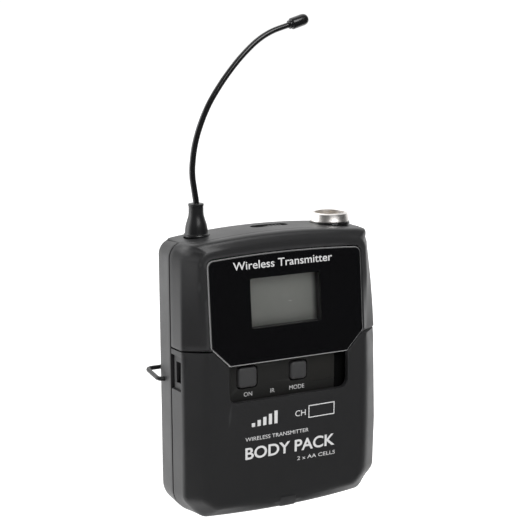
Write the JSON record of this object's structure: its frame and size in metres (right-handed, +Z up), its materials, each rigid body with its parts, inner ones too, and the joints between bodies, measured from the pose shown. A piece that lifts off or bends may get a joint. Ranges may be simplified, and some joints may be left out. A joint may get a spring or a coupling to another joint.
{
  "type": "wireless bodypack transmitter",
  "caption": "Belt-worn wireless microphone transmitter: black pack with display, keys, drop-down battery door, whip antenna, locking socket and wire belt clip.",
  "frame": {"origin": "middle of the flat underside of the housing, midway through its depth", "axes": "+X to the right when facing the display, -Y out of the display, +Z up the housing towards the antenna"},
  "size_m": [0.0712, 0.0279, 0.1485],
  "materials": {
    "case_plastic": "fine textured satin black moulding",
    "inner_plastic": "plain black moulding",
    "key_plastic": "satin dark grey keys",
    "lens_gloss": "polished black lens with white print",
    "display_glass": "grey-green liquid crystal cell",
    "frame_white": "white moulded light frame",
    "ir_tint": "infrared-passing dark plastic",
    "board_green": "green solder mask",
    "chip_black": "black component packages",
    "shield_tin": "tinned steel",
    "screw_steel": "blackened steel screws",
    "spring_steel": "bright nickel-plated springs and plates",
    "socket_chrome": "bright plated ring and barrel",
    "insert_brown": "dark insulating insert",
    "contact_gold": "gold-plated pins",
    "collar_black": "black moulded collar",
    "boot_rubber": "satin black rubber boot",
    "whip_jacket": "glossy black jacket",
    "cell_sleeve": "printed cell sleeve with a copper-coloured band",
    "clip_wire": "black coated spring wire"
  },
  "bodies": {
    "pack": {"rear_shell": "case_plastic", "front_shell": "case_plastic", "top_plate": "case_plastic", "hinge_pins": "spring_steel", "latch_springs": "spring_steel", "case_screws": "screw_steel", "display_lens": "lens_gloss", "display_glass": "display_glass", "display_frame": "frame_white", "key_panel": "inner_plastic", "key_switches": "shield_tin", "ir_window": "ir_tint", "ir_sensor": "ir_tint", "main_board": "board_green", "rf_shield": "shield_tin", "board_chips": "chip_black", "board_screws": "spring_steel", "mute_switch": "shield_tin", "socket_shell": "socket_chrome", "socket_insert": "insert_brown", "socket_pins": "contact_gold", "socket_collar": "collar_black", "ring_nut": "socket_chrome", "antenna_boot": "boot_rubber", "antenna_whip": "whip_jacket", "antenna_tip": "whip_jacket", "antenna_mount": "contact_gold", "battery_tray": "inner_plastic", "battery_upper": "cell_sleeve", "battery_lower": "cell_sleeve", "contact_springs": "spring_steel", "contact_plates": "spring_steel", "supply_pins": "contact_gold"},
    "door": {"battery_door": "case_plastic"},
    "latch_left": {"latch_left": "inner_plastic"},
    "latch_right": {"latch_right": "inner_plastic"},
    "on_key": {"on_key": "key_plastic"},
    "mode_key": {"mode_key": "key_plastic"},
    "mute_slider": {"mute_slider": "key_plastic"},
    "belt_clip": {"belt_clip": "clip_wire"}
  },
  "joints": [
    {"name": "door_hinge", "type": "hinge", "parent": "pack", "child": "door", "pos_m": [0, -0.0002, 0.0015], "axis": [1, 0, 0], "range_deg": [0, 90]},
    {"name": "latch_left_press", "type": "slide", "parent": "pack", "child": "latch_left", "axis": [1, 0, 0], "range_m": [0, 0.001], "stiffness_N_per_m": 900, "springref_m": -0.0005},
    {"name": "latch_right_press", "type": "slide", "parent": "pack", "child": "latch_right", "axis": [-1, 0, 0], "range_m": [0, 0.001], "stiffness_N_per_m": 900, "springref_m": -0.0005},
    {"name": "on_key_press", "type": "slide", "parent": "pack", "child": "on_key", "axis": [0, 1, 0], "range_m": [0, 0.0005], "stiffness_N_per_m": 1500, "springref_m": -0.0002},
    {"name": "mode_key_press", "type": "slide", "parent": "pack", "child": "mode_key", "axis": [0, 1, 0], "range_m": [0, 0.0005], "stiffness_N_per_m": 1500, "springref_m": -0.0002},
    {"name": "mute_slide", "type": "slide", "parent": "pack", "child": "mute_slider", "axis": [-1, 0, 0], "range_m": [0, 0.003]},
    {"name": "clip_swing", "type": "hinge", "parent": "pack", "child": "belt_clip", "pos_m": [0, 0.0072, 0.041], "axis": [1, 0, 0], "range_deg": [0, 20], "stiffness_Nm_per_rad": 0.4, "springref_deg": -2.86}
  ]
}
